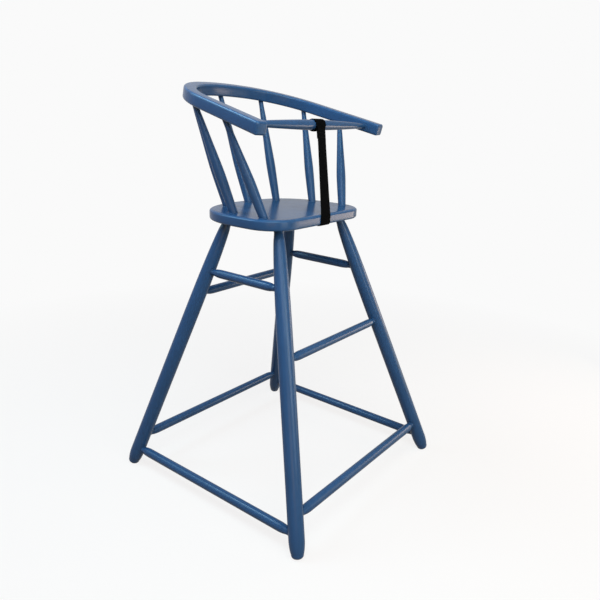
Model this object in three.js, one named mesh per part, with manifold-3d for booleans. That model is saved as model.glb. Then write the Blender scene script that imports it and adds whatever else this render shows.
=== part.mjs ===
// A child's high chair of painted wood: a slab seat on four splayed turned legs, round stretchers
// between the legs, a bent arm rail on seven turned spindles, a turned bar across the front of the
// rail and a webbing crotch strap. Millimetres, +Z up, floor at z = 0, the sitter faces -Y.
import * as THREE from 'three';
import { mergeVertices } from 'three/addons/utils/BufferGeometryUtils.js';
import Module from 'manifold-3d';

const wasm = await Module();
wasm.setup();

// Clearances
const fit = 0.3;            // gap round every tenon and under every fastener
const strapGap = 0.3;       // gap between the webbing and what it lies on
const weldDistance = 0.0001;

// Seat
const seatHeight = 563.5;       // floor to the top of the seat
const seatThickness = 19.6;
const seatHalfWidth = 151;
const seatBackReach = 140.2;    // from the chair's middle to the back edge
const seatFrontReach = 86;
const seatCornerRadius = 62;    // plan radius of the two front corners
const seatEdgeRound = 4.5;
const seatRoundness = 2.65;     // exponent of the back's outline, 2 would be an ellipse

// Legs: their axes, where they meet the floor and the plane of the seat's top
const footHalfSpread = 244.3;
const footFrontReach = 234.3;
const footBackReach = 233.9;
const legSeatHalfSpread = 91.7;
const legSeatFrontReach = 43.2;
const legSeatBackReach = 70.4;
const legRadius = 14.9;
const footRadius = 11.8;        // just above the rounded rim
const footRimRound = 8.5;
const footTaper = 25;           // length of the taper above the rim
const footWear = 2.2;           // how much of the lowest rim is levelled off

// Stretchers: heights of their axes on the legs, and their turned shape
const lowSideHeight = 37.5;
const lowCrossHeight = 67.6;
const highSideHeight = 440.5;
const highBackHeight = 394.6;
const footrestHeight = 322.6;
const lowStretcherRadius = 9.5;
const highStretcherRadius = 8.6;
const stretcherTaper = 20;      // the end taper outside the leg
const stretcherShoulder = 3;    // straight neck between the leg's surface and the taper
const stretcherStop = 2;        // how far short of the leg's axis the tenon ends

// Bent arm rail, drawn in its own plane, which slopes down to the front
const railHeight = 733.2;       // where the rail's plane crosses the chair's middle
const railSlopeDegrees = 13.7;
const railBackReach = 194.9;
const railBackRadius = 238;
const railBackTurnDegrees = 14.9;
const railShoulderRadius = 135.6;
const railShoulderTurnDegrees = 67.7;
const railArmLength = 158.4;
const railWidth = 24;
const railDepth = 21.8;
const railEdgeRound = 4;

// Spindles
const spindleRadius = 9.4;      // at the belly
const spindleSeatTenon = 12;
const spindleRailTenon = 12;

// Front bar
const barRadius = 9.1;
const barSetback = 30.5;        // from the arm's end to the bar's axis, along the arm
const barStop = 1;              // how far short of the arm's middle the tenon ends

// Crotch strap and its fixing under the seat
const strapWidth = 30;
const strapThickness = 1.3;
const strapUnderReach = 46;     // from the seat's front edge to the strap's end
const screwInset = 32;          // from the seat's front edge to the screw
const screwShankRadius = 2;
const screwHeadRadius = 4.6;
const screwHeadHeight = 2.6;
const screwGrip = 12;           // thread inside the seat
const washerRadius = 8;
const washerThickness = 1.4;

// Turned shapes, each point a share of the length and a share of the largest radius
const legProfileShares = [[0.62, 1], [0.72, 0.975], [0.82, 0.905], [0.88, 0.82], [0.925, 0.71], [0.953, 0.58]];
const footProfileShares = [[0.15, 0.3], [0.45, 0.7], [0.75, 0.92], [1, 1]];
const spindleProfileShares = [
  [0, 0.845], [0.04, 0.86], [0.16, 0.93], [0.35, 1], [0.5, 0.91],
  [0.65, 0.775], [0.84, 0.62], [0.96, 0.52], [1, 0.52],
];
const barProfileShares = [[0.04, 0.52], [0.15, 0.7], [0.3, 0.88], [0.42, 0.98], [0.5, 1]];
const rimShares = [[0, 0], [0.08, 0.38], [0.29, 0.71], [0.62, 0.92], [1, 1]];
const taperShares = [[0, 0], [0.5, 0.7], [1, 1]];
const screwHeadShares = [[0, 0.55], [0.4, 0.9], [1, 1]];
const screwPointShare = 0.3;
const stretcherTenonShare = 0.74;
const legTenonShare = 0.58;     // of the seat's thickness

// Places on the seat, as shares of its half width and back reach, and along half of the rail
const spindlePlaces = [
  { pair: 'back_middle', acrossShare: 0, alongShare: 0.806, railShare: 0 },
  { pair: 'back_outer', acrossShare: 0.498, alongShare: 0.719, railShare: 0.267 },
  { pair: 'side', acrossShare: 0.806, alongShare: 0.274, railShare: 0.52 },
  { pair: 'front', acrossShare: 0.823, alongShare: -0.27, railShare: 0.755 },
];

// Facets
const legSides = 20;
const stretcherSides = 16;
const spindleSides = 14;
const barSides = 18;
const screwSides = 16;
const railSteps = 40;
const seatBackSteps = 26;
const roundSteps = 3;
const cornerSteps = 6;

// Finishes
const paint = { color: 0x3f6396, roughness: 0.22, metalness: 0 };
const webbing = { color: 0x0b0b0d, roughness: 0.85, metalness: 0 };
const steel = { color: 0xa9acb0, roughness: 0.35, metalness: 1 };

const axisY = new THREE.Vector3(0, 1, 0);
const chair = new THREE.Group();

function material(finish) {
  return new THREE.MeshStandardMaterial(finish);
}

function mix(low, high, share) {
  return low + (high - low) * share;
}

// Solids for cutting and joining
function solidOf(geometry, matrix) {
  const moved = geometry.clone().applyMatrix4(matrix);
  moved.deleteAttribute('normal');
  moved.deleteAttribute('uv');
  const merged = mergeVertices(moved, weldDistance);
  const corners = merged.index.array;
  const kept = [];
  for (let i = 0; i < corners.length; i += 3) {
    const [a, b, c] = corners.slice(i, i + 3);
    if (a !== b && b !== c && c !== a) kept.push(a, b, c);
  }
  const vertProperties = new Float32Array(merged.attributes.position.array);
  return new wasm.Manifold(new wasm.Mesh({ numProp: 3, vertProperties, triVerts: new Uint32Array(kept) }));
}

function geometryOf(solid) {
  const found = solid.getMesh();
  const geometry = new THREE.BufferGeometry();
  geometry.setAttribute('position', new THREE.BufferAttribute(found.vertProperties, 3));
  geometry.setIndex(new THREE.BufferAttribute(found.triVerts, 1));
  geometry.computeVertexNormals();
  return geometry;
}

function inFrameOf(mesh, other) {
  mesh.updateWorldMatrix(true, false);
  other.updateWorldMatrix(true, false);
  return mesh.matrixWorld.clone().invert().multiply(other.matrixWorld);
}

function cut(mesh, cutters) {
  let solid = solidOf(mesh.geometry, new THREE.Matrix4());
  for (const cutter of cutters) {
    solid = solid.subtract(solidOf(cutter.geometry, inFrameOf(mesh, cutter)));
  }
  mesh.geometry = geometryOf(solid);
}

// Turned pieces: a profile of [distance along, radius] between two points
function turnedGeometry(profile, sides) {
  const first = profile[0];
  const last = profile[profile.length - 1];
  const points = [[first[0], 0], ...profile, [last[0], 0]];
  return new THREE.LatheGeometry(points.map(([along, radius]) => new THREE.Vector2(radius, along)), sides);
}

function turned(name, from, to, profile, sides, finish) {
  const mesh = new THREE.Mesh(turnedGeometry(profile, sides), material(finish));
  mesh.name = name;
  mesh.position.copy(from);
  mesh.quaternion.setFromUnitVectors(axisY, to.clone().sub(from).normalize());
  mesh.userData = { profile, sides };
  return mesh;
}

// The same turned shape, larger by the fit all round: what a socket for it removes
function socketFor(mesh) {
  const { profile, sides } = mesh.userData;
  const grown = profile.map(([along, radius]) => [along, radius + fit]);
  grown[0][0] -= fit;
  grown[grown.length - 1][0] += fit;
  const cutter = new THREE.Mesh(turnedGeometry(grown, sides));
  cutter.applyMatrix4(inFrameOf(chair, mesh));
  return cutter;
}

// Seat slab: straight front, round front corners, full round back
function seatOutline() {
  const corner = seatCornerRadius;
  const outline = new THREE.Shape();
  outline.moveTo(corner - seatHalfWidth, -seatFrontReach);
  outline.lineTo(seatHalfWidth - corner, -seatFrontReach);
  outline.absarc(seatHalfWidth - corner, corner - seatFrontReach, corner, -Math.PI / 2, 0, false);
  for (let step = 0; step <= seatBackSteps; step += 1) {
    const angle = Math.PI * step / seatBackSteps;
    const across = Math.sign(Math.cos(angle)) * Math.abs(Math.cos(angle)) ** (2 / seatRoundness);
    const along = Math.abs(Math.sin(angle)) ** (2 / seatRoundness);
    outline.lineTo(seatHalfWidth * across, seatBackReach * along);
  }
  outline.absarc(corner - seatHalfWidth, corner - seatFrontReach, corner, Math.PI, Math.PI * 1.5, false);
  return outline;
}

function makeSeat() {
  const geometry = new THREE.ExtrudeGeometry(seatOutline(), {
    depth: seatThickness - 2 * seatEdgeRound,
    bevelThickness: seatEdgeRound,
    bevelSize: seatEdgeRound,
    bevelOffset: -seatEdgeRound,
    bevelSegments: roundSteps,
    curveSegments: 2 * cornerSteps,
  });
  const seat = new THREE.Mesh(geometry, material(paint));
  seat.name = 'seat';
  seat.position.z = seatHeight - seatThickness + seatEdgeRound;
  return seat;
}

// Legs
function legAxis(side, row) {
  const front = row === 'front';
  const foot = new THREE.Vector3(side * footHalfSpread, front ? -footFrontReach : footBackReach, 0);
  const seatY = front ? -legSeatFrontReach : legSeatBackReach;
  const top = new THREE.Vector3(side * legSeatHalfSpread, seatY, seatHeight);
  return new THREE.Line3(foot, top);
}

function pointAtHeight(axis, height) {
  return axis.at(height / seatHeight, new THREE.Vector3());
}

// How far above the floor, along a leaning axis, the foot's end lies when its lowest rim is worn level
function footLift(axis) {
  const upright = seatHeight / axis.distance();
  const lean = Math.sqrt(1 - upright ** 2);
  const ringHeight = (footRadius - footRimRound) * lean + footRimRound - footWear;
  return ringHeight / upright - footRimRound;
}

function makeLeg(name, axis) {
  const length = axis.distance();
  const lift = footLift(axis);
  const tenonTop = length * (1 - (seatThickness / seatHeight) * (1 - legTenonShare));
  const endRadius = footRadius - footRimRound;
  const rimTop = lift + footRimRound;
  const rim = rimShares.map(([along, out]) => [mix(lift, rimTop, along), mix(endRadius, footRadius, out)]);
  const foot = footProfileShares.map(([along, out]) => (
    [rimTop + footTaper * along, mix(footRadius, legRadius, out)]
  ));
  const shaft = legProfileShares.map(([along, share]) => [length * along, legRadius * share]);
  const neckRadius = shaft[shaft.length - 1][1];
  const profile = [...rim, ...foot, ...shaft, [tenonTop, neckRadius]];
  return turned(name, axis.start, axis.end, profile, legSides, paint);
}

function floorCutter() {
  const span = 2 * (footHalfSpread + footFrontReach + footBackReach);
  const depth = 2 * legRadius;
  const box = new THREE.Mesh(new THREE.BoxGeometry(span, span, depth));
  box.position.z = -depth / 2;
  return box;
}

// Stretchers between two leg axes at one height
function makeStretcher(name, legA, legB, height, radius) {
  const a = pointAtHeight(legA, height);
  const b = pointAtHeight(legB, height);
  const along = b.clone().sub(a).normalize();
  const from = a.clone().addScaledVector(along, stretcherStop);
  const to = b.clone().addScaledVector(along, -stretcherStop);
  const length = from.distanceTo(to);
  const neck = legRadius + stretcherShoulder - stretcherStop;
  const tenon = radius * stretcherTenonShare;
  const taper = taperShares.map(([share, rise]) => [neck + stretcherTaper * share, mix(tenon, radius, rise)]);
  const end = [[0, tenon], ...taper];
  const otherEnd = end.map(([distance, size]) => [length - distance, size]).reverse();
  return turned(name, from, to, [...end, ...otherEnd], stretcherSides, paint);
}

// Arm rail: half of its centre line, by distance from the middle of the back
const railBends = [
  { radius: railBackRadius, turn: THREE.MathUtils.degToRad(railBackTurnDegrees) },
  { radius: railShoulderRadius, turn: THREE.MathUtils.degToRad(railShoulderTurnDegrees) },
];
const railHalfLength = railBends.reduce((sum, bend) => sum + bend.radius * bend.turn, railArmLength);

function railHalfPoint(distance) {
  let left = distance;
  let heading = 0;
  const point = new THREE.Vector2(0, railBackReach);
  for (const { radius, turn } of railBends) {
    const done = Math.min(turn, left / radius);
    point.x += radius * (Math.sin(heading + done) - Math.sin(heading));
    point.y -= radius * (Math.cos(heading) - Math.cos(heading + done));
    heading += done;
    left -= done * radius;
  }
  return point.add(new THREE.Vector2(Math.cos(heading), -Math.sin(heading)).multiplyScalar(left));
}

class RailPath extends THREE.Curve {
  getPoint(share, target = new THREE.Vector3()) {
    const distance = (2 * share - 1) * railHalfLength;
    const half = railHalfPoint(Math.abs(distance));
    return target.set(Math.sign(distance) * half.x, half.y, 0);
  }
}

function railSection() {
  const x = railDepth / 2;
  const y = railWidth / 2;
  const round = railEdgeRound;
  const section = new THREE.Shape();
  section.absarc(x - round, y - round, round, 0, Math.PI / 2, false);
  section.absarc(round - x, y - round, round, Math.PI / 2, Math.PI, false);
  section.absarc(round - x, round - y, round, Math.PI, Math.PI * 1.5, false);
  section.absarc(x - round, round - y, round, -Math.PI / 2, 0, false);
  return section;
}

function makeRail() {
  const geometry = new THREE.ExtrudeGeometry(railSection(), {
    steps: railSteps,
    curveSegments: roundSteps,
    extrudePath: new RailPath(),
  });
  const rail = new THREE.Mesh(geometry, material(paint));
  rail.name = 'arm_rail';
  return rail;
}

const railPlane = new THREE.Group();
railPlane.position.z = railHeight;
railPlane.rotation.x = THREE.MathUtils.degToRad(railSlopeDegrees);
railPlane.updateMatrixWorld();

// A point of the rail in the chair's frame: side -1 or 1, share of the half length, height off its middle
function railPoint(side, share, lift) {
  const half = railHalfPoint(share * railHalfLength);
  return new THREE.Vector3(side * half.x, half.y, lift).applyMatrix4(railPlane.matrixWorld);
}

// Spindles from the seat's top into the rail's underside
function makeSpindle(name, side, place) {
  const footX = side * seatHalfWidth * place.acrossShare;
  const foot = new THREE.Vector3(footX, seatBackReach * place.alongShare, seatHeight);
  const head = railPoint(side, place.railShare, -railDepth / 2);
  const shown = foot.distanceTo(head);
  const shaft = spindleProfileShares.map(([along, size]) => (
    [spindleSeatTenon + shown * along, spindleRadius * size]
  ));
  const seatEnd = [0, shaft[0][1]];
  const railEnd = [spindleSeatTenon + shown + spindleRailTenon, shaft[shaft.length - 1][1]];
  const along = head.clone().sub(foot).normalize();
  const start = foot.clone().addScaledVector(along, -spindleSeatTenon);
  return turned(name, start, head, [seatEnd, ...shaft, railEnd], spindleSides, paint);
}

// Front bar between the middles of the arms
const barShare = 1 - barSetback / railHalfLength;
const barLeft = railPoint(-1, barShare, 0);
const barRight = railPoint(1, barShare, 0);

function makeBar() {
  const along = barRight.clone().sub(barLeft).normalize();
  const from = barLeft.clone().addScaledVector(along, barStop);
  const to = barRight.clone().addScaledVector(along, -barStop);
  const length = from.distanceTo(to);
  const half = barProfileShares.map(([share, radiusShare]) => [length * share, barRadius * radiusShare]);
  const tenon = [0, half[0][1]];
  const mirrored = half.slice(0, -1).map(([distance, radius]) => [length - distance, radius]).reverse();
  const profile = [tenon, ...half, ...mirrored, [length, tenon[1]]];
  return turned('front_bar', from, to, profile, barSides, paint);
}

// Strap: drawn from the side, across = y and up = z, then extruded across the chair
const strapMiddleOffset = strapGap + strapThickness / 2;
const barCentre = new THREE.Vector2(barLeft.y, barLeft.z);
const loopRadius = barRadius + strapMiddleOffset;
const edgeRadius = seatEdgeRound + strapMiddleOffset;
const topEdge = new THREE.Vector2(seatEdgeRound - seatFrontReach, seatHeight - seatEdgeRound);
const lowEdge = new THREE.Vector2(topEdge.x, seatHeight - seatThickness + seatEdgeRound);

// Angle of the line that touches the loop and the seat's top edge in front
function strapRunAngle() {
  const between = topEdge.clone().sub(barCentre);
  const lean = Math.asin((loopRadius - edgeRadius) / between.length());
  return between.angle() - Math.PI / 2 + lean;
}

function strapSide(shape, offset, reverse) {
  const angle = strapRunAngle();
  const radius = edgeRadius + offset;
  const loop = loopRadius + offset;
  const start = new THREE.Vector2(Math.cos(angle), Math.sin(angle)).multiplyScalar(loop).add(barCentre);
  const end = new THREE.Vector2(strapUnderReach - seatFrontReach, lowEdge.y - radius);
  if (!reverse) {
    shape.moveTo(start.x, start.y);
    shape.absarc(topEdge.x, topEdge.y, radius, angle, Math.PI, false);
    shape.absarc(lowEdge.x, lowEdge.y, radius, Math.PI, Math.PI * 1.5, false);
    shape.lineTo(end.x, end.y);
  } else {
    shape.lineTo(end.x, end.y);
    shape.absarc(lowEdge.x, lowEdge.y, radius, Math.PI * 1.5, Math.PI, true);
    shape.absarc(topEdge.x, topEdge.y, radius, Math.PI, angle, true);
    shape.lineTo(start.x, start.y);
  }
}

function strapTail() {
  const tail = new THREE.Shape();
  strapSide(tail, strapThickness / 2, false);
  strapSide(tail, -strapThickness / 2, true);
  return tail;
}

function strapLoop() {
  const ring = new THREE.Shape();
  ring.absarc(barCentre.x, barCentre.y, loopRadius + strapThickness / 2, 0, Math.PI * 2, false);
  const hole = new THREE.Path();
  hole.absarc(barCentre.x, barCentre.y, loopRadius - strapThickness / 2, 0, Math.PI * 2, true);
  ring.holes.push(hole);
  return ring;
}

function makeStrap() {
  const band = { depth: strapWidth, bevelEnabled: false, curveSegments: 2 * cornerSteps };
  const still = new THREE.Matrix4();
  const loop = solidOf(new THREE.ExtrudeGeometry(strapLoop(), band), still);
  const tail = solidOf(new THREE.ExtrudeGeometry(strapTail(), { ...band, curveSegments: cornerSteps }), still);
  const strap = new THREE.Mesh(geometryOf(loop.add(tail)), material(webbing));
  strap.name = 'crotch_strap';
  const sideways = new THREE.Matrix4().makeBasis(axisY, new THREE.Vector3(0, 0, 1), new THREE.Vector3(1, 0, 0));
  strap.quaternion.setFromRotationMatrix(sideways);
  strap.position.x = -strapWidth / 2;
  return strap;
}

// Screw and washer that hold the strap's end under the seat
const seatUnderside = seatHeight - seatThickness;
const washerTop = seatUnderside - strapGap - strapThickness - fit;
const screwPlace = new THREE.Vector3(0, screwInset - seatFrontReach, washerTop - washerThickness - fit);
const screwTip = new THREE.Vector3(0, screwPlace.y, seatUnderside + screwGrip);

function makeScrew() {
  const head = screwPlace.clone();
  head.z -= screwHeadHeight;
  const reach = screwTip.distanceTo(head);
  const profile = [
    ...screwHeadShares.map(([along, share]) => [screwHeadHeight * along, screwHeadRadius * share]),
    [screwHeadHeight, screwShankRadius],
    [reach - screwShankRadius, screwShankRadius],
    [reach, screwShankRadius * screwPointShare],
  ];
  return turned('strap_screw', head, screwTip, profile, screwSides, steel);
}

function makeWasher() {
  const ring = new THREE.Shape();
  ring.absarc(0, 0, washerRadius, 0, Math.PI * 2, false);
  const hole = new THREE.Path();
  hole.absarc(0, 0, screwShankRadius + fit, 0, Math.PI * 2, true);
  ring.holes.push(hole);
  const options = { depth: washerThickness, bevelEnabled: false, curveSegments: screwSides };
  const washer = new THREE.Mesh(new THREE.ExtrudeGeometry(ring, options), material(steel));
  washer.name = 'strap_washer';
  washer.position.set(screwPlace.x, screwPlace.y, washerTop - washerThickness);
  return washer;
}

// Base: seat, legs and stretchers
const base = new THREE.Group();
const seat = makeSeat();
const legAxes = {};
const legs = {};
for (const [sideName, side] of [['right', -1], ['left', 1]]) {
  for (const row of ['front', 'back']) {
    const key = `${row}_${sideName}`;
    legAxes[key] = legAxis(side, row);
    legs[key] = makeLeg(`leg_${key}`, legAxes[key]);
  }
}

const stretcherPlan = [
  ['stretcher_low_right', 'back_right', 'front_right', lowSideHeight, lowStretcherRadius],
  ['stretcher_low_left', 'back_left', 'front_left', lowSideHeight, lowStretcherRadius],
  ['stretcher_low_front', 'front_right', 'front_left', lowCrossHeight, lowStretcherRadius],
  ['stretcher_low_back', 'back_right', 'back_left', lowCrossHeight, lowStretcherRadius],
  ['stretcher_high_right', 'back_right', 'front_right', highSideHeight, highStretcherRadius],
  ['stretcher_high_left', 'back_left', 'front_left', highSideHeight, highStretcherRadius],
  ['stretcher_high_back', 'back_right', 'back_left', highBackHeight, highStretcherRadius],
  ['footrest', 'front_right', 'front_left', footrestHeight, highStretcherRadius],
];
const stretchers = stretcherPlan.map(([name, legA, legB, height, radius]) => (
  { legA, legB, mesh: makeStretcher(name, legAxes[legA], legAxes[legB], height, radius) }
));
base.add(seat, ...Object.values(legs), ...stretchers.map(({ mesh }) => mesh));

// Upper part: rail, spindles and front bar
const upper = new THREE.Group();
const rail = makeRail();
const bar = makeBar();
const spindles = spindlePlaces.flatMap((place) => {
  const name = `spindle_${place.pair}`;
  if (place.acrossShare === 0) return [makeSpindle(name, 1, place)];
  return [makeSpindle(`${name}_right`, -1, place), makeSpindle(`${name}_left`, 1, place)];
});
railPlane.add(rail);
upper.add(railPlane, ...spindles, bar);

// Strap and fixing
const harness = new THREE.Group();
const strap = makeStrap();
const screw = makeScrew();
harness.add(strap, screw, makeWasher());
chair.add(base, upper, harness);

// Sockets
const floor = floorCutter();
for (const [key, leg] of Object.entries(legs)) {
  const tenons = stretchers.filter(({ legA, legB }) => legA === key || legB === key);
  cut(leg, [floor, ...tenons.map(({ mesh }) => socketFor(mesh))]);
}
cut(seat, [...Object.values(legs), ...spindles, screw].map(socketFor));
cut(rail, [...spindles, bar].map(socketFor));
cut(strap, [socketFor(screw)]);

export default chair;
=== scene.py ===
import math

import bmesh
import bpy
import numpy as np
from mathutils import Matrix, Vector
from mathutils.kdtree import KDTree


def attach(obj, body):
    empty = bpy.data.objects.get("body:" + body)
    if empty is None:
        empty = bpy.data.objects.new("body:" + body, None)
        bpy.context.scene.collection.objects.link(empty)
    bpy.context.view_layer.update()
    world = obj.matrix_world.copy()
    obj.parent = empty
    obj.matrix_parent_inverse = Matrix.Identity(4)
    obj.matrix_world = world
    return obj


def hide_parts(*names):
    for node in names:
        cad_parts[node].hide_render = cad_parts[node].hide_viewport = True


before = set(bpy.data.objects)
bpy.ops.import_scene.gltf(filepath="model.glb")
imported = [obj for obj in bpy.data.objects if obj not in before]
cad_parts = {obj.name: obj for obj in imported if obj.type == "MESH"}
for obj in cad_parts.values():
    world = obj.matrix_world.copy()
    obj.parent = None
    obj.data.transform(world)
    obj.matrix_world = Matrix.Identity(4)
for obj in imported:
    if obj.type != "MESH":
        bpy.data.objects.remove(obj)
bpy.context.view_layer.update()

# Sizes in millimetres, as the solids have them; meshes are made in metres
MM = 0.001
UP = np.array([0.0, 0.0, 1.0])

SEAT_HEIGHT = 563.5
SEAT_THICKNESS = 19.6
SEAT_HALF_WIDTH = 151.0
SEAT_BACK_REACH = 140.2
SEAT_FRONT_REACH = 86.0
SEAT_CORNER_RADIUS = 62.0
SEAT_EDGE_ROUND = 4.5
SEAT_TOP_ROLL = 7.5
SEAT_ROUNDNESS = 2.65

FOOT_HALF_SPREAD = 244.3
FOOT_FRONT_REACH = 234.3
FOOT_BACK_REACH = 233.9
LEG_SEAT_HALF_SPREAD = 91.7
LEG_SEAT_FRONT_REACH = 43.2
LEG_SEAT_BACK_REACH = 70.4
LEG_RADIUS = 14.9
FOOT_RADIUS = 11.8
FOOT_RIM_ROUND = 8.5
FOOT_TAPER = 25.0
FOOT_WEAR = 2.2
LEG_TENON = 11.0

LOW_SIDE_HEIGHT = 37.5
LOW_CROSS_HEIGHT = 67.6
HIGH_SIDE_HEIGHT = 440.5
HIGH_BACK_HEIGHT = 394.6
FOOTREST_HEIGHT = 322.6
LOW_STRETCHER_RADIUS = 9.5
HIGH_STRETCHER_RADIUS = 8.6
STRETCHER_TAPER = 20.0
STRETCHER_SHOULDER = 3.0
STRETCHER_STOP = 2.0
STRETCHER_NECK = 0.74

RAIL_HEIGHT = 733.2
RAIL_SLOPE = math.radians(13.7)
RAIL_BACK_REACH = 194.9
RAIL_BENDS = [(238.0, math.radians(14.9)), (135.6, math.radians(67.7))]
RAIL_ARM_LENGTH = 158.4
RAIL_WIDTH = 24.0
RAIL_DEPTH = 21.8
RAIL_EDGE_ROUND = 4.0
RAIL_HALF_LENGTH = sum(radius * turn for radius, turn in RAIL_BENDS) + RAIL_ARM_LENGTH

SPINDLE_RADIUS = 9.4
SPINDLE_TENON = 12.0
BAR_RADIUS = 9.1
BAR_SETBACK = 30.5
BAR_STOP = 1.0

STRAP_WIDTH = 30.0
STRAP_THICKNESS = 1.3
STRAP_GAP = 0.3
STRAP_UNDER_REACH = 46.0
STRAP_LEAN = math.radians(8)
STRAP_LEAN_RUN = 5.5
STRAP_LEAN_FADE = 0.75
STRAP_LEAN_POWER = 0.8
STRAP_LOOP_LEAN = 0.55
STRAP_AT_BAR = 2.9
STRAP_AT_SEAT = -2.5
STRAP_SEAM = 13.0
STRAP_HUMP = 3.0
STRAP_LAYER_GAP = 0.15
STRAP_LOOP_FADE = 6
STRAP_EDGE_SHARE = 0.42
STRAP_STEP = 0.4
STRAP_LEAST_STEP = 0.05
STRAP_SEAM_STEPS = 34
STRAP_EDGE_STEPS = 28
STRAP_ROUND_STEPS = 3
RIB_PITCH = 2.4
RIB_HEIGHT = 0.28
YARN_PITCH = 1.1
SEAM_INSET = (3.2, 2.6)
STITCH_PITCH = 2.9
STITCH_LENGTH = 2.3
STITCH_SINK = 1.6
STITCH_RISE = 0.8
STITCH_ROUND = 0.7
STITCH_STEPS = 6
THREAD_RADIUS = 0.26
THREAD_SIDES = 8

SCREW_INSET = 32.0
SCREW_SHANK_RADIUS = 2.0
SCREW_HEAD_RADIUS = 4.6
SCREW_HEAD_HEIGHT = 2.6
SCREW_GRIP = 12.0
WASHER_RADIUS = 8.0
WASHER_THICKNESS = 1.4

# How finely the meshes are stepped
TURN = 2 * math.pi
QUARTER = math.pi / 2
LEG_SIDES = 64
BAR_SIDES = 56
SLIM_SIDES = 40
LONGEST_STEP = 15.0
SHORTEST_STEP = 0.35
GIRTH_STEP = 0.12
FOOT_STEPS = 9
RAIL_STEPS = 190
RAIL_END_STEPS = 8
RAIL_ROUND_STEPS = 6
RAIL_ARRIS = 0.7
SEAT_FRONT_STEPS = 9
SEAT_BACK_STEPS = 121
SEAT_CORNER_STEPS = 25
SEAT_UNDER_STEPS = 7
SEAT_ROLL_STEPS = 10
SEAT_UNDER_RINGS = (0.25, 0.6)
SEAT_TOP_RINGS = (0.97, 0.9, 0.7, 0.45, 0.2)
WOOD_CREASE = math.radians(38)
METAL_CREASE = math.radians(30)

# The bead of paint in a joint, and how far round it the paint is darkened, for paint gathered there and
# as painted shade
PAINT_BEAD = 0.8
SMALL_PAINT_BEAD = 0.6
BEAD_TUCK = 0.4
BEAD_SHARES = (0, 0.25, 0.5, 0.75, 1)
JOINT_SEARCH = 22
JOINT_HALVINGS = 34
JOINT_SPREAD = 3.2
SLOPE_STEP = 0.01

# Where each kind of piece is cut from the grain, so that no two look alike
GRAIN_CUTS = {"leg": (0.31, 0.17, 0.05), "stretcher": (0.23, 0.41, 0.07), "spindle": (0.19, 0.77, 0.03)}
BAR_GRAIN_CUT = (0.9, 0.3, 0.2)

# Turned shapes: shares of the length and of the largest radius
LEG_SHAPE = [(0.62, 1), (0.72, 0.975), (0.82, 0.905), (0.88, 0.82), (0.925, 0.71), (0.953, 0.58)]
FOOT_SHAPE = [(0.15, 0.3), (0.45, 0.7), (0.75, 0.92), (1, 1)]
SPINDLE_SHAPE = [
    (0, 0.845), (0.04, 0.86), (0.16, 0.93), (0.35, 1), (0.5, 0.91),
    (0.65, 0.775), (0.84, 0.62), (0.96, 0.52), (1, 0.52),
]
BAR_SHAPE = [(0.04, 0.52), (0.15, 0.7), (0.3, 0.88), (0.42, 0.98), (0.5, 1)]
TAPER_SHAPE = [(0, 0), (0.5, 0.7), (1, 1)]
SPINDLES = {
    "back_middle": (0, 0.806, 0),
    "back_outer": (0.498, 0.719, 0.267),
    "side": (0.806, 0.274, 0.52),
    "front": (0.823, -0.27, 0.755),
}


def unit(vector):
    vector = np.asarray(vector, float)
    return vector / np.linalg.norm(vector)


def put(name, data):
    """A new object in the scene, at the origin."""
    made = bpy.data.objects.new(name, data)
    bpy.context.scene.collection.objects.link(made)
    return made


def result_of(holder):
    """The mesh that an object's modifiers make. The object itself goes."""
    evaluated = holder.evaluated_get(bpy.context.evaluated_depsgraph_get())
    mesh = bpy.data.meshes.new_from_object(evaluated)
    bpy.data.objects.remove(holder)
    return mesh


# Trees of nodes, for finishes and for shapes alike
class Wire:
    """An output of a node. Arithmetic on a value adds Math nodes."""

    def __init__(self, board, socket):
        self.board = board
        self.socket = socket

    def out(self, name):
        return Wire(self.board, self.socket.node.outputs[name])

    def calc(self, operation, *values):
        return self.board.node("ShaderNodeMath", {"operation": operation}, dict(enumerate(values)))

    def __add__(self, other):
        return self.calc("ADD", self, other)

    def __sub__(self, other):
        return self.calc("SUBTRACT", self, other)

    def __rsub__(self, other):
        return self.calc("SUBTRACT", other, self)

    def __mul__(self, other):
        return self.calc("MULTIPLY", self, other)

    def __truediv__(self, other):
        return self.calc("DIVIDE", self, other)

    def __pow__(self, other):
        return self.calc("POWER", self, other)

    def sine(self):
        return self.calc("SINE", self)

    def cosine(self):
        return self.calc("COSINE", self)

    def above(self, floor):
        return self.calc("MAXIMUM", self, floor)

    def below(self, ceiling):
        return self.calc("MINIMUM", self, ceiling)

    __radd__ = __add__
    __rmul__ = __mul__


class Board:
    """A tree that nodes are put on, one method for all of them."""

    def __init__(self, tree):
        self.tree = tree

    def node(self, kind, settings=None, sockets=None):
        made = self.tree.nodes.new(kind)
        for key, value in (settings or {}).items():
            if key == "stops":
                ramp = made.color_ramp.elements
                for number, (place, shade) in enumerate(value):
                    stop = ramp[number] if number < 2 else ramp.new(place)
                    stop.position = place
                    stop.color = (shade, shade, shade, 1)
            else:
                setattr(made, key, value)
        for key, value in (sockets or {}).items():
            if isinstance(value, Wire):
                self.tree.links.new(value.socket, made.inputs[key])
            else:
                made.inputs[key].default_value = value
        return Wire(self, made.outputs[0] if made.outputs else None)

    def vector(self, operation, *values):
        return self.node("ShaderNodeVectorMath", {"operation": operation}, dict(enumerate(values)))

    def scaled(self, vector, share):
        return self.node("ShaderNodeVectorMath", {"operation": "SCALE"}, {0: vector, "Scale": share})

    def blend(self, share, first, second):
        return self.node("ShaderNodeMixShader", {}, {0: share, 1: first, 2: second})

    def combined(self, **parts):
        return self.node("ShaderNodeCombineXYZ", {}, parts)

    def apart(self, vector):
        return self.node("ShaderNodeSeparateXYZ", {}, {0: vector})


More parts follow.
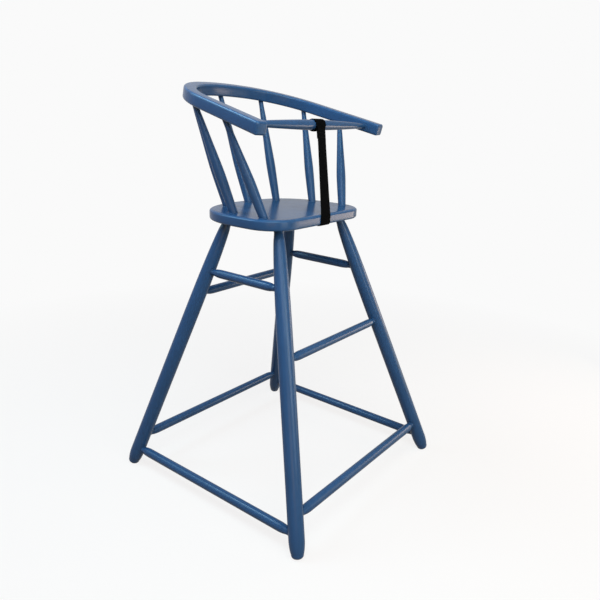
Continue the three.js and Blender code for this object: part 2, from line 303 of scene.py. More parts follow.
class Finish(Board):
    """A material under construction."""

    def __init__(self, name):
        self.material = bpy.data.materials.new(name)
        self.material.use_nodes = True
        super().__init__(self.material.node_tree)
        self.tree.nodes.clear()

    def place(self, name):
        return self.node("ShaderNodeAttribute", {"attribute_name": name}).out("Vector")

    def object_place(self):
        return self.node("ShaderNodeTexCoord").out("Object")

    def amount(self, name):
        return self.node("ShaderNodeAttribute", {"attribute_name": name}).out("Fac")

    def noise(self, place, stretch, detail=2.0, roughness=0.5):
        seat = self.node("ShaderNodeMapping", {}, {"Vector": place, "Scale": stretch})
        values = {"Vector": seat, "Scale": 1.0, "Detail": detail, "Roughness": roughness}
        return self.node("ShaderNodeTexNoise", {}, values)

    def mix(self, share, first, second):
        return self.node("ShaderNodeMix", {"data_type": "RGBA"}, {0: share, 6: first, 7: second}).out(2)

    def ramp(self, value, stops):
        return self.node("ShaderNodeValToRGB", {"stops": stops}, {"Fac": value})

    def glow(self, strength):
        return self.node("ShaderNodeEmission", {}, {"Color": grey(1), "Strength": strength})

    def bump(self, height, distance, normal=None):
        values = {"Height": height, "Distance": distance, "Strength": 1.0}
        if normal:
            values["Normal"] = normal
        return self.node("ShaderNodeBump", {}, values)

    def done(self, sockets):
        shader = self.node("ShaderNodeBsdfPrincipled", {}, sockets)
        self.node("ShaderNodeOutputMaterial", {}, {"Surface": shader})
        return self.material


def colour(red, green, blue):
    return (red, green, blue, 1.0)


def grey(value):
    return colour(value, value, value)


# Finishes; relief depths are in metres
PAINT_DEEP = colour(0.0186, 0.0576, 0.139)
PAINT_PALE = colour(0.0225, 0.0668, 0.161)
# Colour of the rounded edges: paint worn thin there, and a painted highlight
PAINT_WORN_AND_HIGHLIT = colour(0.031, 0.096, 0.218)
# Colour by the joints: paint gathered there, and painted shade
PAINT_POOLED_AND_SHADED = colour(0.008, 0.030, 0.078)
GRAIN_RELIEF = 0.00003
PEEL_RELIEF = 0.000012
WEAVE_RELIEF = 0.00012
TWIST_RELIEF = 0.00005
SCRATCH_RELIEF = 0.00001


def blue_paint():
    """Sprayed satin-gloss paint over sanded beech: the grain shows only as faint relief."""
    paint = Finish("blue_satin_paint")
    grain = paint.place("grain")
    joint = paint.amount("joint")
    arris = paint.amount("arris")
    clouds = paint.noise(grain, (22, 22, 14), 2.0)
    streaks = paint.noise(grain, (520, 520, 26), 3.0, 0.6)
    pores = paint.noise(grain, (1500, 1500, 170), 1.0)
    peel = paint.noise(grain, (330, 330, 330), 1.0)
    haze = paint.noise(grain, (60, 60, 30), 3.0, 0.65)
    flecks = paint.ramp(pores, [(0.6, 0), (0.7, 1)])
    tone = clouds * 0.7 + streaks * 0.3
    body = paint.mix(paint.ramp(tone, [(0.3, 0), (0.7, 1)]), PAINT_DEEP, PAINT_PALE)
    # Lighter along the rounded edges: worn paint, and a painted highlight
    worn = paint.mix((arris * (0.2 + haze * 0.4)).below(1.0), body, PAINT_WORN_AND_HIGHLIT)
    # Darker by the joints: pooled paint, and painted shade
    shade = paint.mix(joint * 0.45, worn, PAINT_POOLED_AND_SHADED)
    relief = paint.bump(streaks * 0.6 - flecks * 0.4, GRAIN_RELIEF)
    normal = paint.bump(peel, PEEL_RELIEF, relief)
    return paint.done({
        "Base Color": shade,
        "Roughness": 0.15 + haze * 0.12 + joint * 0.1,
        "Normal": normal,
        "IOR": 1.5,
        "Specular IOR Level": 0.2,
    })


def black_webbing():
    """Ribbed polyester webbing; the ribs are in the mesh and the yarns are in the relief."""
    web = Finish("black_ribbed_webbing")
    lay = web.place("lay")
    parts = web.apart(lay)
    across, along = parts.out("X"), parts.out("Z")
    ribs = (along * (TURN / (RIB_PITCH * MM))).cosine() * 0.5 + 0.5
    yarns = (across * (TURN / (YARN_PITCH * MM))).sine() * 0.5 + 0.5
    fuzz = web.noise(lay, (1800, 1800, 1800), 2.0)
    dust = web.noise(lay, (70, 70, 40), 3.0, 0.6)
    weave = yarns * 0.6 + fuzz * 0.4
    dark = web.mix(weave, colour(0.0010, 0.0010, 0.0012), colour(0.0026, 0.0026, 0.0029))
    shade = web.mix(ribs * 0.5 * dust, dark, colour(0.004, 0.004, 0.0044))
    return web.done({
        "Base Color": shade,
        "Roughness": 0.66 + fuzz * 0.2,
        "Normal": web.bump(weave, WEAVE_RELIEF),
        "Specular IOR Level": 0.01,
    })


def black_thread():
    thread = Finish("black_sewing_thread")
    lay = thread.object_place()
    twist = thread.noise(lay, (4200, 4200, 4200), 2.0)
    shade = thread.mix(twist, grey(0.002), grey(0.008))
    return thread.done({
        "Base Color": shade,
        "Roughness": 0.55 + twist * 0.2,
        "Normal": thread.bump(twist, TWIST_RELIEF),
        "Specular IOR Level": 0.08,
    })


def zinc_plate():
    """Zinc-plated steel with fine turning marks and dull patches."""
    zinc = Finish("zinc_plated_steel")
    lay = zinc.object_place()
    patches = zinc.noise(lay, (420, 420, 420), 3.0, 0.6)
    scratches = zinc.noise(lay, (5200, 900, 2600), 2.0)
    shade = zinc.mix(patches, colour(0.50, 0.51, 0.53), colour(0.68, 0.69, 0.71))
    return zinc.done({
        "Base Color": shade,
        "Metallic": 1.0,
        "Roughness": 0.26 + patches * 0.16 + scratches * 0.06,
        "Normal": zinc.bump(scratches, SCRATCH_RELIEF),
    })


FINISHES = {
    "painted_wood": blue_paint(),
    "strap_webbing": black_webbing(),
    "thread": black_thread(),
    "plated_steel": zinc_plate(),
}


# Shape trees
class Jig(Board):
    """A shape tree under construction, with named inputs for its sizes."""

    KINDS = {float: "NodeSocketFloat", int: "NodeSocketInt", tuple: "NodeSocketVector"}

    def __init__(self, name, sizes):
        super().__init__(bpy.data.node_groups.new(name, "GeometryNodeTree"))
        face = self.tree.interface
        face.new_socket(name="Stock", in_out="INPUT", socket_type="NodeSocketGeometry")
        for size, kind in sizes.items():
            face.new_socket(name=size, in_out="INPUT", socket_type=self.KINDS[kind])
        face.new_socket(name="Finish", in_out="INPUT", socket_type="NodeSocketMaterial")
        face.new_socket(name="Piece", in_out="OUTPUT", socket_type="NodeSocketGeometry")
        self.entry = self.node("NodeGroupInput")

    def size(self, name):
        return self.entry.out(name)

    def kept(self, name, kind):
        settings = {"data_type": kind}
        return self.node("GeometryNodeInputNamedAttribute", settings, {"Name": name})

    def store(self, shape, name, kind, value):
        settings = {"data_type": kind, "domain": "POINT"}
        values = {"Geometry": shape, "Name": name, "Value": value}
        return self.node("GeometryNodeStoreNamedAttribute", settings, values)

    def line(self):
        """The stock as a line to sweep along."""
        return self.node("GeometryNodeMeshToCurve", {}, {0: self.size("Stock")})

    def measured(self, line):
        """Keeps at each point how far along the line it lies."""
        length = self.node("GeometryNodeSplineParameter").out("Length")
        return self.store(line, "run", "FLOAT", length)

    def ring(self, sides, radius):
        sizes = {"Resolution": sides, "Radius": radius}
        return self.node("GeometryNodeCurvePrimitiveCircle", {}, sizes)

    def eased_block(self, width, depth, steps, radius):
        """A rectangle with rounded corners, to sweep; each point keeps its place in the section."""
        block = {"Width": width, "Height": depth}
        plain = self.node("GeometryNodeCurvePrimitiveQuadrilateral", {}, block)
        rounding = {"Curve": plain, "Count": steps, "Radius": radius}
        eased = self.node("GeometryNodeFilletCurve", {"mode": "POLY"}, rounding)
        return self.store(eased, "section", "FLOAT_VECTOR", self.node("GeometryNodeInputPosition"))

    def swept(self, line, section):
        """Runs a section along a line, scaled at each point by its girth."""
        girth = self.kept("girth", "FLOAT")
        ends = {"Curve": line, "Profile Curve": section, "Scale": girth, "Fill Caps": True}
        return self.node("GeometryNodeCurveToMesh", {}, ends)

    def moved(self, shape, shift, turn):
        moves = {"Geometry": shape, "Translation": shift, "Rotation": turn}
        return self.node("GeometryNodeTransform", {}, moves)

    def close(self, shape):
        real = self.node("GeometryNodeRealizeInstances", {}, {"Geometry": shape})
        ends = {"Geometry": real, "Material": self.size("Finish")}
        painted = self.node("GeometryNodeSetMaterial", {}, ends)
        self.node("NodeGroupOutput", {}, {"Piece": painted})

    def run(self, stock, sizes, finish):
        """The plain mesh that the tree makes of a stock mesh."""
        holder = put("stock", stock)
        modifier = holder.modifiers.new("jig", "NODES")
        modifier.node_group = self.tree
        values = {**sizes, "Finish": FINISHES[finish]}
        for item in self.tree.interface.items_tree:
            if item.in_out == "INPUT" and item.name in values:
                modifier[item.identifier] = values[item.name]
        mesh = result_of(holder)
        bpy.data.meshes.remove(stock)
        return mesh


def keep_values(mesh, attributes):
    """Stores a number or a vector for each point of a mesh, under each name."""
    for name, values in attributes.items():
        values = np.asarray(values, np.float32)
        plain = values.ndim == 1
        kept = mesh.attributes.new(name, "FLOAT" if plain else "FLOAT_VECTOR", "POINT")
        kept.data.foreach_set("value" if plain else "vector", values.ravel())


def point_stock(points, lines, attributes):
    """Points as stock for a tree, with values that the tree reads at each of them."""
    mesh = bpy.data.meshes.new("stock")
    mesh.from_pydata([tuple(point) for point in points], lines, [])
    keep_values(mesh, attributes)
    return mesh


def line_stock(points, attributes):
    return point_stock(points, [(i, i + 1) for i in range(len(points) - 1)], attributes)


def lathe_jig():
    """Turns a line of radii into a round piece and sets it between two points."""
    jig = Jig("lathe", {"From": tuple, "To": tuple, "Sides": int, "Grain shift": tuple})
    body = jig.swept(jig.line(), jig.ring(jig.size("Sides"), 1.0))
    place = jig.vector("ADD", jig.node("GeometryNodeInputPosition"), jig.size("Grain shift"))
    grained = jig.store(body, "grain", "FLOAT_VECTOR", place)
    axis = jig.vector("SUBTRACT", jig.size("To"), jig.size("From"))
    turn = jig.node("FunctionNodeAlignRotationToVector", {"axis": "Z"}, {"Vector": axis})
    jig.close(jig.moved(grained, jig.size("From"), turn))
    return jig


def bending_jig():
    """Runs a rounded rectangular section along a bent line and tips its plane."""
    sizes = {"Width": float, "Depth": float, "Edge round": float, "Height": float, "Slope": float}
    jig = Jig("bending form", sizes)
    level = jig.node("GeometryNodeSetCurveNormal", {"mode": "Z_UP"}, {"Curve": jig.line()})
    edge = jig.size("Edge round")
    section = jig.eased_block(jig.size("Width"), jig.size("Depth"), RAIL_ROUND_STEPS, edge)
    body = jig.swept(jig.measured(level), section)
    lift = jig.combined(Z=jig.kept("run", "FLOAT"))
    place = jig.vector("ADD", jig.kept("section", "FLOAT_VECTOR"), lift)
    grained = jig.store(body, "grain", "FLOAT_VECTOR", place)
    raised, tip = jig.combined(Z=jig.size("Height")), jig.combined(X=jig.size("Slope"))
    jig.close(jig.moved(grained, raised, tip))
    return jig


def loom_jig():
    """Sweeps a flat band along a line and raises ribs across it."""
    sizes = {"Width": float, "Thickness": float, "Rib pitch": float, "Rib height": float}
    jig = Jig("webbing loom", sizes)
    looks = {"Curve": jig.line(), "Normal": jig.kept("face", "FLOAT_VECTOR")}
    facing = jig.node("GeometryNodeSetCurveNormal", {"mode": "FREE"}, looks)
    thickness = jig.size("Thickness")
    edge = thickness * STRAP_EDGE_SHARE
    section = jig.eased_block(thickness, jig.size("Width"), STRAP_ROUND_STEPS, edge)
    ends = {0: jig.measured(facing), 1: section, "Fill Caps": True}
    body = jig.node("GeometryNodeCurveToMesh", {}, ends)
    run = jig.kept("run", "FLOAT")
    parts = jig.apart(jig.kept("section", "FLOAT_VECTOR"))
    lay = jig.combined(X=parts.out("Y"), Y=parts.out("X"), Z=run)
    laid = jig.store(body, "lay", "FLOAT_VECTOR", lay)
    wave = (run * TURN / jig.size("Rib pitch")).cosine()
    height = wave * jig.size("Rib height") * 0.5
    push = jig.scaled(jig.node("GeometryNodeInputNormal"), height)
    jig.close(jig.node("GeometryNodeSetPosition", {}, {"Geometry": laid, "Offset": push}))
    return jig


def stitch_jig():
    """Sets one stitch of thread at each point, along the way that the point gives."""
    jig = Jig("stitches", {"Stitch length": float, "Thread radius": float})
    spots = jig.node("GeometryNodeMeshToPoints", {}, {0: jig.size("Stock")})
    half = jig.size("Stitch length") * 0.5
    thread = jig.size("Thread radius")
    sink, rise = thread * -STITCH_SINK, thread * STITCH_RISE
    arc = jig.node("GeometryNodeCurvePrimitiveBezierSegment", {}, {
        "Resolution": STITCH_STEPS,
        "Start": jig.combined(X=sink, Z=half * -1.0),
        "Start Handle": jig.combined(X=rise, Z=half * -STITCH_ROUND),
        "End Handle": jig.combined(X=rise, Z=half * STITCH_ROUND),
        "End": jig.combined(X=sink, Z=half),
    })
    ends = {0: arc, 1: jig.ring(THREAD_SIDES, thread), "Fill Caps": True}
    stitch = jig.node("GeometryNodeCurveToMesh", {}, ends)
    way = {"Vector": jig.kept("way", "FLOAT_VECTOR")}
    lengthways = jig.node("FunctionNodeAlignRotationToVector", {"axis": "Z"}, way)
    facing = {"Rotation": lengthways, "Vector": jig.kept("face", "FLOAT_VECTOR")}
    turn = jig.node("FunctionNodeAlignRotationToVector", {"axis": "X", "pivot_axis": "Z"}, facing)
    places = {"Points": spots, "Instance": stitch, "Rotation": turn}
    jig.close(jig.node("GeometryNodeInstanceOnPoints", {}, places))
    return jig


LATHE = lathe_jig()
BENDING_FORM = bending_jig()
LOOM = loom_jig()
STITCHES = stitch_jig()


# Shells: points in millimetres, faces, and where each point lies in the grain
class Shell:
    def __init__(self, points, faces, grain):
        self.points = np.asarray(points, float)
        self.faces = faces
        self.grain = np.asarray(grain, float)

    @classmethod
    def of(cls, mesh):
        points = np.array([v.co for v in mesh.vertices], float) / MM
        grain = np.zeros(len(points) * 3, np.float32)
        mesh.attributes["grain"].data.foreach_get("vector", grain)
        return cls(points, [list(p.vertices) for p in mesh.polygons], grain.reshape(-1, 3))

    def joined(self, *others):
        points, faces, grain = [self.points], list(self.faces), [self.grain]
        count = len(self.points)
        for other in others:
            faces += [[i + count for i in face] for face in other.faces]
            points.append(other.points)
            grain.append(other.grain)
            count += len(other.points)
        return Shell(np.vstack(points), faces, np.vstack(grain))


def smoothed(mesh, crease=None):
    """Turns the faces of each closed shell outwards and shades them smooth, up to a crease."""
    work = bmesh.new()
    work.from_mesh(mesh)
    bmesh.ops.recalc_face_normals(work, faces=work.faces)
    work.to_mesh(mesh)
    work.free()
    mesh.shade_smooth()
    if crease:
        mesh.set_sharp_from_angle(angle=crease)


def bands(rings, size, closed=True):
    """Faces that join each ring of points to the next, and the last to the first when closed."""
    faces = []
    for number in range(rings if closed else rings - 1):
        row, following = number * size, (number + 1) % rings * size
        for step in range(size):
            after = (step + 1) % size
            faces.append([row + step, row + after, following + after, following + step])
    return faces


def grain_cut(kind, number):
    across, upper, along = GRAIN_CUTS[kind]
    return (across * number, upper, along * number)


joint_spots = []
painted_shells = []


def make_piece(name, mesh, node, finish):
    piece = put(name, mesh)
    mesh.materials.clear()
    mesh.materials.append(FINISHES[finish])
    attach(piece, "root")
    if node:
        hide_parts(node)
    return piece


def painted_piece(name, shell, node, arris=None):
    """Keeps a painted shell until all joints are known, so that the paint darkens by them: paint
    gathered there, and painted shade.
    """
    painted_shells.append((name, shell, node, arris))


def paint_all():
    tree = KDTree(len(joint_spots))
    for number, spot in enumerate(joint_spots):
        tree.insert(spot, number)
    tree.balance()
    for name, shell, node, arris in painted_shells:
        mesh = bpy.data.meshes.new(name)
        mesh.from_pydata((shell.points * MM).tolist(), [], shell.faces)
        smoothed(mesh, WOOD_CREASE)
        # Nearness to a joint darkens the paint there: pooled paint, and painted shade
        near = [math.exp(-(tree.find(p)[2] / JOINT_SPREAD) ** 2) for p in shell.points]
        # Nearness to a rounded edge lightens the paint there: wear, and a painted highlight
        edge = arris if arris is not None else np.zeros(len(shell.points))
        keep_values(mesh, {"joint": near, "arris": edge, "grain": shell.grain})
        make_piece(name, mesh, node, "painted_wood")


# Round work
def smooth_through(knots, at):
    """Values at the given places on a smooth line through the knots that never swings past them."""
    xs, ys = np.array(knots, float).T
    steps = np.diff(xs)
    slopes = np.diff(ys) / steps
    bends = np.zeros(len(xs))
    for i in range(1, len(xs) - 1):
        before, after = slopes[i - 1], slopes[i]
        if before * after > 0:
            first, second = 2 * steps[i] + steps[i - 1], steps[i] + 2 * steps[i - 1]
            bends[i] = (first + second) / (first / before + second / after)
    bends[0], bends[-1] = slopes[0], slopes[-1]
    place = np.clip(np.searchsorted(xs, at, side="right") - 1, 0, len(xs) - 2)
    step = steps[place]
    share = (at - xs[place]) / step
    rest = 1 - share
    low = (1 + 2 * share) * rest ** 2 * ys[place] + share * rest ** 2 * step * bends[place]
    high = share ** 2 * (3 - 2 * share) * ys[place + 1] - share ** 2 * rest * step * bends[place + 1]
    return low + high


def lathed(ends, places, radii, sides, shift, finish):
    """A round mesh with radii at places along the line between two points, all in millimetres."""
    stock = line_stock([(0, 0, place * MM) for place in places], {"girth": radii * MM})
    start, end = (tuple(point * MM) for point in ends)
    sizes = {"From": start, "To": end, "Sides": sides, "Grain shift": shift}
    return LATHE.run(stock, sizes, finish)


class Turned:
    """A turned piece: radii at distances along the line between two points."""

    def __init__(self, start, end, knots, sides):
        self.start = np.asarray(start, float)
        self.end = np.asarray(end, float)
        self.axis = unit(self.end - self.start)
        self.across = unit(np.cross(self.axis, UP if abs(self.axis[2]) < 0.9 else [1.0, 0.0, 0.0]))
        self.upper = np.cross(self.axis, self.across)
        self.sides = sides
        places = [knots[0][0]]
        for (near, small), (far, large) in zip(knots, knots[1:]):
            run = far - near
            count = max(1, math.ceil(run / LONGEST_STEP), math.ceil(abs(large - small) / GIRTH_STEP))
            count = min(count, max(1, math.ceil(run / SHORTEST_STEP)))
            places += [near + run * (i + 1) / count for i in range(count)]
        self.places = np.array(places)
        self.radii = smooth_through(knots, self.places)
        self.length = np.linalg.norm(self.end - self.start)

    def out(self, angle):
        return self.across * math.cos(angle) + self.upper * math.sin(angle)

    def point(self, distance, angle):
        girth = np.interp(distance, self.places, self.radii)
        return self.start + self.axis * distance + self.out(angle) * girth

    def depth(self, point):
        """How far a point is outside the surface, less than zero inside."""
        away = point - self.start
        distance = away @ self.axis
        girth = np.interp(distance, self.places, self.radii)
        return np.linalg.norm(away - self.axis * distance) - girth

    def mesh(self, shift):
        ends = (self.start, self.end)
        return lathed(ends, self.places, self.radii, self.sides, shift, "painted_wood")

    def leaves(self, host, near, leaving, angle):
        """The distance at which one line of the surface comes out of a host, by halving."""
        inside, outside = near - leaving * JOINT_SEARCH, near + leaving * JOINT_SEARCH
        for _ in range(JOINT_HALVINGS):
            middle = (inside + outside) / 2
            if host(self.point(middle, angle)) < 0:
                inside = middle
            else:
                outside = middle
        return outside

    def fillet(self, host, near, leaving, size=PAINT_BEAD):
        """The paint that fills the corner where this piece enters a host, and the joint's own line.

        host gives how far a point is outside it; near is a distance along this piece by the joint;
        leaving is 1 or -1, the way out of the host along this piece."""
        points = []
        for number in range(self.sides):
            angle = TURN * number / self.sides
            place = self.leaves(host, near, leaving, angle)
            corner = self.point(place, angle)
            joint_spots.append(corner)
            slope = [host(corner + step) - host(corner - step) for step in np.eye(3) * SLOPE_STEP]
            normal, out = unit(slope), self.out(angle)
            over = unit(out - normal * (out @ normal))
            upper = self.point(place + leaving * size, angle)
            lower = corner + over * size
            lower = lower - normal * host(lower)
            for share in BEAD_SHARES:
                rest = 1 - share
                points.append(upper * rest ** 2 + corner * 2 * share * rest + lower * share ** 2)
            points.append(corner - normal * BEAD_TUCK - out * BEAD_TUCK)
        ways = (self.across, self.upper, self.axis)
        grain = [[(point - self.start) @ way * MM for way in ways] for point in points]
        return Shell(points, bands(self.sides, len(BEAD_SHARES) + 1), grain)


def flat_host(place, normal):
    """A host with a flat face: the piece is outside it on the side that the normal points to."""
    place, normal = np.asarray(place, float), unit(normal)
    return lambda point: (point - place) @ normal


# Seat
def seat_outline():
    """Plan of the seat's edge, all round, with the way out at each point."""
    corner, points = SEAT_CORNER_RADIUS, []
    corner_y = corner - SEAT_FRONT_REACH

    def front_corner(side, first):
        for angle in np.linspace(first, first + 90, SEAT_CORNER_STEPS)[:-1]:
            turn = math.radians(angle)
            x = side * (SEAT_HALF_WIDTH - corner) + corner * math.cos(turn)
            points.append([x, corner_y + corner * math.sin(turn)])

    for share in np.linspace(0, 1, SEAT_FRONT_STEPS)[:-1]:
        points.append([(corner - SEAT_HALF_WIDTH) * (1 - 2 * share), -SEAT_FRONT_REACH])
    front_corner(1, -90)
    points.append([SEAT_HALF_WIDTH, corner_y / 2])
    power = 2 / SEAT_ROUNDNESS
    for share in np.linspace(0, 1, SEAT_BACK_STEPS):
        angle = math.pi * share
        side, back = math.cos(angle), math.sin(angle)
        x = SEAT_HALF_WIDTH * math.copysign(abs(side) ** power, side)
        points.append([x, SEAT_BACK_REACH * abs(back) ** power])
    points.append([-SEAT_HALF_WIDTH, corner_y / 2])
    front_corner(-1, 180)
    points = np.array(points)
    ahead = np.roll(points, -1, axis=0) - np.roll(points, 1, axis=0)
    ways = np.stack([ahead[:, 1], -ahead[:, 0]], axis=1)
    return points, ways / np.linalg.norm(ways, axis=1)[:, None]


def seat_shell():
    outline, ways = seat_outline()
    count = len(outline)
    rings = []
    for share in np.linspace(0, 1, SEAT_UNDER_STEPS):
        angle = QUARTER * share
        inset = SEAT_EDGE_ROUND * (1 - math.sin(angle))
        height = -SEAT_THICKNESS + SEAT_EDGE_ROUND * (1 - math.cos(angle))
        rings.append((inset, height, 1 - abs(2 * share - 1)))
    for angle in QUARTER * np.linspace(0, 1, SEAT_ROLL_STEPS):
        inset = SEAT_TOP_ROLL * (1 - math.cos(angle))
        height = -SEAT_EDGE_ROUND * (1 - math.sin(angle))
        rings.append((inset, height, math.sin(2 * angle) ** 2))
    points, grain, arris = [], [], []

    def add(plan, height, edge):
        for x, y in plan:
            points.append([x, y, SEAT_HEIGHT + height])
            grain.append([x * MM, height * MM, y * MM])
            arris.append(edge)

    for shrink in SEAT_UNDER_RINGS:
        add(outline * shrink, -SEAT_THICKNESS, 0)
    for inset, height, edge in rings:
        add(outline - ways * inset, height, edge)
    inner = outline - ways * SEAT_TOP_ROLL
    for shrink in SEAT_TOP_RINGS:
        add(inner * shrink, 0, 0)
    layers = len(points) // count
    faces = bands(layers, count, closed=False)
    for layer, height in ((0, -SEAT_THICKNESS), (layers - 1, 0)):
        middle = len(points)
        add([(0, 0)], height, 0)
        faces += [[middle, layer * count + n, layer * count + (n + 1) % count] for n in range(count)]
    return Shell(points, faces, grain), np.array(arris)


# Legs and stretchers
LEG_SHOWN = 1 - SEAT_THICKNESS / SEAT_HEIGHT


def leg_line(side, row):
    """A leg's middle line, from the floor up to the seat's top face."""
    if row == "front":
        foot_y, top_y = -FOOT_FRONT_REACH, -LEG_SEAT_FRONT_REACH
    else:
        foot_y, top_y = FOOT_BACK_REACH, LEG_SEAT_BACK_REACH
    foot = np.array([side * FOOT_HALF_SPREAD, foot_y, 0])
    return foot, np.array([side * LEG_SEAT_HALF_SPREAD, top_y, SEAT_HEIGHT])


def turned_leg(side, row):
    foot, top = leg_line(side, row)
    length = np.linalg.norm(top - foot)
    upright = SEAT_HEIGHT / length
    lean = math.sqrt(1 - upright ** 2)
    end_radius = FOOT_RADIUS - FOOT_RIM_ROUND
    lift = (end_radius * lean + FOOT_RIM_ROUND - FOOT_WEAR) / upright - FOOT_RIM_ROUND
    rim_top = lift + FOOT_RIM_ROUND
    knots = []
    for angle in QUARTER * np.linspace(0, 1, FOOT_STEPS)[:-1]:
        height = rim_top - FOOT_RIM_ROUND * math.cos(angle)
        knots.append((height, end_radius + FOOT_RIM_ROUND * math.sin(angle)))
    knots.append((rim_top, FOOT_RADIUS))
    gain = LEG_RADIUS - FOOT_RADIUS
    knots += [(rim_top + FOOT_TAPER * along, FOOT_RADIUS + gain * out) for along, out in FOOT_SHAPE]
    knots += [(length * along, LEG_RADIUS * out) for along, out in LEG_SHAPE]
    knots.append((length * LEG_SHOWN + LEG_TENON, knots[-1][1]))
    return Turned(foot, top, knots, LEG_SIDES)


def level_foot(mesh):
    """Takes off what the floor has worn from the rim."""
    work = bmesh.new()
    work.from_mesh(mesh)
    parts = [*work.verts, *work.edges, *work.faces]
    floor = {"plane_co": (0, 0, 0), "plane_no": (0, 0, 1)}
    cut = bmesh.ops.bisect_plane(work, geom=parts, clear_inner=True, **floor)
    rim = [edge for edge in cut["geom_cut"] if isinstance(edge, bmesh.types.BMEdge)]
    bmesh.ops.contextual_create(work, geom=rim)
    work.to_mesh(mesh)
    work.free()


def turned_stretcher(leg_a, leg_b, height, radius):
    share = height / SEAT_HEIGHT
    a = leg_a.start + (leg_a.end - leg_a.start) * share
    b = leg_b.start + (leg_b.end - leg_b.start) * share
    way = unit(b - a)
    start, end = a + way * STRETCHER_STOP, b - way * STRETCHER_STOP
    length = np.linalg.norm(end - start)
    neck = LEG_RADIUS + STRETCHER_SHOULDER - STRETCHER_STOP
    small = radius * STRETCHER_NECK
    gain = radius - small
    knots = [(0, small)]
    knots += [(neck + STRETCHER_TAPER * along, small + gain * out) for along, out in TAPER_SHAPE]
    knots += [(length - distance, size) for distance, size in reversed(knots)]
    return Turned(start, end, knots, SLIM_SIDES)


def build_base():
    legs = {}
    for side_name, side in (("right", -1), ("left", 1)):
        for row in ("front", "back"):
            legs[f"{row}_{side_name}"] = turned_leg(side, row)
    under = flat_host([0, 0, SEAT_HEIGHT - SEAT_THICKNESS], [0, 0, -1])
    for number, (key, leg) in enumerate(legs.items()):
        mesh = leg.mesh(grain_cut("leg", number))
        level_foot(mesh)
        corner = leg.fillet(under, leg.length * LEG_SHOWN, -1)
        painted_piece(f"turned_leg_{key}", Shell.of(mesh).joined(corner), f"leg_{key}")
    plan = [
        ("stretcher_low_right", "back_right", "front_right", LOW_SIDE_HEIGHT, LOW_STRETCHER_RADIUS),
        ("stretcher_low_left", "back_left", "front_left", LOW_SIDE_HEIGHT, LOW_STRETCHER_RADIUS),
        ("stretcher_low_front", "front_right", "front_left", LOW_CROSS_HEIGHT, LOW_STRETCHER_RADIUS),
        ("stretcher_low_back", "back_right", "back_left", LOW_CROSS_HEIGHT, LOW_STRETCHER_RADIUS),
        ("stretcher_high_right", "back_right", "front_right", HIGH_SIDE_HEIGHT, HIGH_STRETCHER_RADIUS),
        ("stretcher_high_left", "back_left", "front_left", HIGH_SIDE_HEIGHT, HIGH_STRETCHER_RADIUS),
        ("stretcher_high_back", "back_right", "back_left", HIGH_BACK_HEIGHT, HIGH_STRETCHER_RADIUS),
        ("footrest", "front_right", "front_left", FOOTREST_HEIGHT, HIGH_STRETCHER_RADIUS),
    ]
    for number, (name, leg_a, leg_b, height, radius) in enumerate(plan):
        piece = turned_stretcher(legs[leg_a], legs[leg_b], height, radius)
        body = Shell.of(piece.mesh(grain_cut("stretcher", number)))
        first = piece.fillet(legs[leg_a].depth, LEG_RADIUS, 1)
        last = piece.fillet(legs[leg_b].depth, piece.length - LEG_RADIUS, -1)
        painted_piece(f"turned_{name}", body.joined(first, last), name)
    slab, arris = seat_shell()
    painted_piece("seat_slab", slab, "seat", arris)


# Rail, spindles and bar
def rail_half_point(distance):
    """A point of the level rail's middle line, from the back's middle on, with its heading."""
    left, heading, place = distance, 0.0, np.array([0, RAIL_BACK_REACH])
    for radius, turn in RAIL_BENDS:
        done = min(turn, left / radius)
        ahead = heading + done
        sideways, forward = math.sin(ahead) - math.sin(heading), math.cos(ahead) - math.cos(heading)
        place = place + radius * np.array([sideways, forward])
        heading, left = ahead, left - done * radius
    return place + left * np.array([math.cos(heading), -math.sin(heading)]), heading


def rail_point(side, share, lift):
    (x, y), _ = rail_half_point(share * RAIL_HALF_LENGTH)
    return rail_placed([side * x, y, lift])


def rail_turned(vector):
    x, y, z = vector
    slope_cos, slope_sin = math.cos(RAIL_SLOPE), math.sin(RAIL_SLOPE)
    return np.array([x, y * slope_cos - z * slope_sin, y * slope_sin + z * slope_cos])


def rail_placed(point):
    return rail_turned(point) + np.array([0, 0, RAIL_HEIGHT])


def bent_rail():
    edge = RAIL_EDGE_ROUND
    eased = [edge * (1 - math.cos(angle)) for angle in QUARTER * np.linspace(0, 1, RAIL_END_STEPS)]
    body = np.linspace(edge, 2 * RAIL_HALF_LENGTH - edge, RAIL_STEPS)[1:-1]
    places = [*eased, *body, *[2 * RAIL_HALF_LENGTH - d for d in reversed(eased)]]
    points, sizes = [], []
    for place in places:
        from_end = min(place, 2 * RAIL_HALF_LENGTH - place)
        short = max(0.0, edge - from_end)
        drop = edge - math.sqrt(max(0.0, edge ** 2 - short ** 2))
        sizes.append(1 - drop / (RAIL_WIDTH / 2))
        offset = place - RAIL_HALF_LENGTH
        (x, y), _ = rail_half_point(abs(offset))
        points.append([math.copysign(x, offset) * MM, y * MM, 0])
    stock = line_stock(points, {"girth": sizes})
    made = {
        "Width": RAIL_WIDTH * MM,
        "Depth": RAIL_DEPTH * MM,
        "Edge round": edge * MM,
        "Height": RAIL_HEIGHT * MM,
        "Slope": RAIL_SLOPE,
    }
    return BENDING_FORM.run(stock, made, "painted_wood")


def rail_arris(shell):
    """How close each point of the rail is to one of its four rounded edges."""
    across = np.abs(shell.grain[:, 0]) / MM - (RAIL_WIDTH / 2 - RAIL_EDGE_ROUND)
    up = np.abs(shell.grain[:, 1]) / MM - (RAIL_DEPTH / 2 - RAIL_EDGE_ROUND)
    return np.clip(np.minimum(across, up) / (RAIL_EDGE_ROUND * RAIL_ARRIS), 0, 1)


